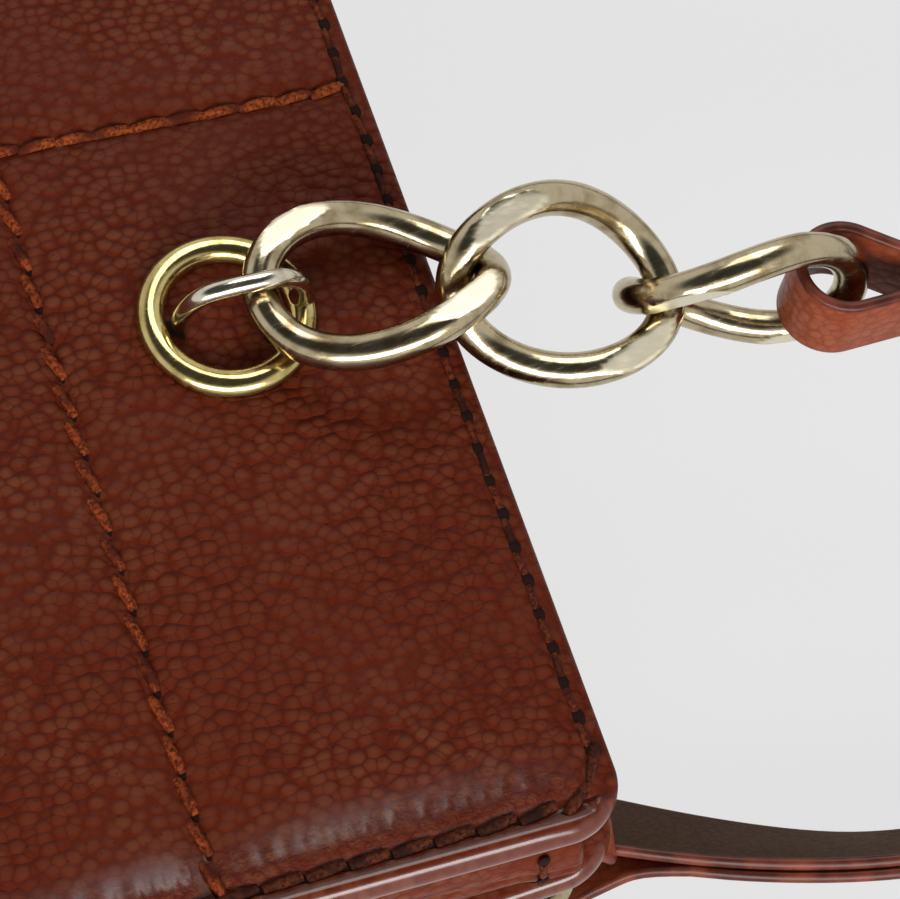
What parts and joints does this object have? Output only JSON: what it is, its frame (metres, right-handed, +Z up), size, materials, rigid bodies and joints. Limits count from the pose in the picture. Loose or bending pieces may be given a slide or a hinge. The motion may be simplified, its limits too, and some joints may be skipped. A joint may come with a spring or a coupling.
{
  "type": "chain shoulder bag",
  "caption": "Quilted brown leather shoulder bag lying on its back, with curb chain ends and folded leather straps.",
  "frame": {"origin": "middle of the whole part on the floor it lies on", "axes": "+Z up out of the front panel, +Y from the base to the mouth, +X to the viewer's right"},
  "size_m": [0.2502, 0.3969, 0.0589],
  "materials": {
    "bag_leather": "pebbled, satin",
    "strap_leather": "satin",
    "facing_leather": "smooth, satin",
    "lining_cloth": "woven",
    "board": "raw fibre",
    "gold_metal": "polished, worn",
    "plate_steel": "stamped"
  },
  "bodies": {
    "bag": {"back_facing": "facing_leather", "back_left_bail": "gold_metal", "back_left_eyelet": "gold_metal", "back_panel": "bag_leather", "back_right_bail": "gold_metal", "back_right_eyelet": "gold_metal", "base_board": "board", "base_panel": "bag_leather", "eyelet_plates": "plate_steel", "front_facing": "facing_leather", "front_left_bail": "gold_metal", "front_left_eyelet": "gold_metal", "front_panel": "bag_leather", "front_right_bail": "gold_metal", "front_right_eyelet": "gold_metal", "left_gusset": "bag_leather", "left_gusset_facing": "facing_leather", "lining": "lining_cloth", "right_gusset": "bag_leather", "right_gusset_facing": "facing_leather", "slip_pocket": "lining_cloth", "snap_socket": "gold_metal", "snap_stud": "gold_metal"},
    "front right first link": {"front_right_link_1": "gold_metal"},
    "front right second link": {"front_right_link_2": "gold_metal"},
    "front left first link": {"front_left_link_1": "gold_metal"},
    "front left second link": {"front_left_link_2": "gold_metal"},
    "front strap": {"front_strap_outer": "strap_leather", "front_strap_lining": "strap_leather", "front_right_link_3": "gold_metal", "front_left_link_3": "gold_metal"},
    "back right first link": {"back_right_link_1": "gold_metal"},
    "back right second link": {"back_right_link_2": "gold_metal"},
    "back right third link": {"back_right_link_3": "gold_metal"},
    "back left first link": {"back_left_link_1": "gold_metal"},
    "back left second link": {"back_left_link_2": "gold_metal"},
    "back left third link": {"back_left_link_3": "gold_metal"},
    "back strap": {"back_strap_outer": "strap_leather", "back_strap_lining": "strap_leather"}
  },
  "joints": [
    {"name": "front right first link in bail", "type": "hinge", "parent": "bag", "child": "front right first link", "pos_m": [0.06263, -0.03143, 0.03667], "axis": [1, 0, 0], "range_deg": [0, 45]},
    {"name": "front right second link in first", "type": "hinge", "parent": "front right first link", "child": "front right second link", "pos_m": [0.06573, -0.01176, 0.03419], "axis": [1, 0, 0], "range_deg": [0, 28]},
    {"name": "back right first link in bail", "type": "hinge", "parent": "bag", "child": "back right first link", "pos_m": [0.06135, -0.02757, 0.00668], "axis": [1, 0, 0], "range_deg": [-2, 0]},
    {"name": "back right second link in first", "type": "hinge", "parent": "back right first link", "child": "back right second link", "pos_m": [0.07953, -0.02598, 0.0054], "axis": [1, 0, 0], "range_deg": [-2, 0]},
    {"name": "back right third link in second", "type": "hinge", "parent": "back right second link", "child": "back right third link", "pos_m": [0.09779, -0.02471, 0.0054], "axis": [1, 0, 0], "range_deg": [-2, 0]},
    {"name": "front left first link in bail", "type": "hinge", "parent": "bag", "child": "front left first link", "pos_m": [-0.06263, -0.03143, 0.03667], "axis": [1, 0, 0], "range_deg": [0, 45]},
    {"name": "front left second link in first", "type": "hinge", "parent": "front left first link", "child": "front left second link", "pos_m": [-0.06573, -0.01176, 0.03419], "axis": [1, 0, 0], "range_deg": [0, 28]},
    {"name": "back left first link in bail", "type": "hinge", "parent": "bag", "child": "back left first link", "pos_m": [-0.06135, -0.02757, 0.00668], "axis": [1, 0, 0], "range_deg": [-2, 0]},
    {"name": "back left second link in first", "type": "hinge", "parent": "back left first link", "child": "back left second link", "pos_m": [-0.07953, -0.02598, 0.0054], "axis": [1, 0, 0], "range_deg": [-2, 0]},
    {"name": "back left third link in second", "type": "hinge", "parent": "back left second link", "child": "back left third link", "pos_m": [-0.09779, -0.02471, 0.0054], "axis": [1, 0, 0], "range_deg": [-2, 0]},
    {"name": "front strap on second link", "type": "hinge", "parent": "front right second link", "child": "front strap", "pos_m": [0.06996, 0.00478, 0.02759], "axis": [1, 0, 0], "range_deg": [-1, 2]},
    {"name": "back strap on third link", "type": "hinge", "parent": "back right third link", "child": "back strap", "pos_m": [0.11283, -0.01728, 0.00591], "axis": [1, 0, 0], "range_deg": [-10, 1]}
  ],
  "couplings": [
    {"joint": "front left first link in bail", "follows": "front right first link in bail", "ratio": 1},
    {"joint": "front left second link in first", "follows": "front right second link in first", "ratio": 1}
  ]
}
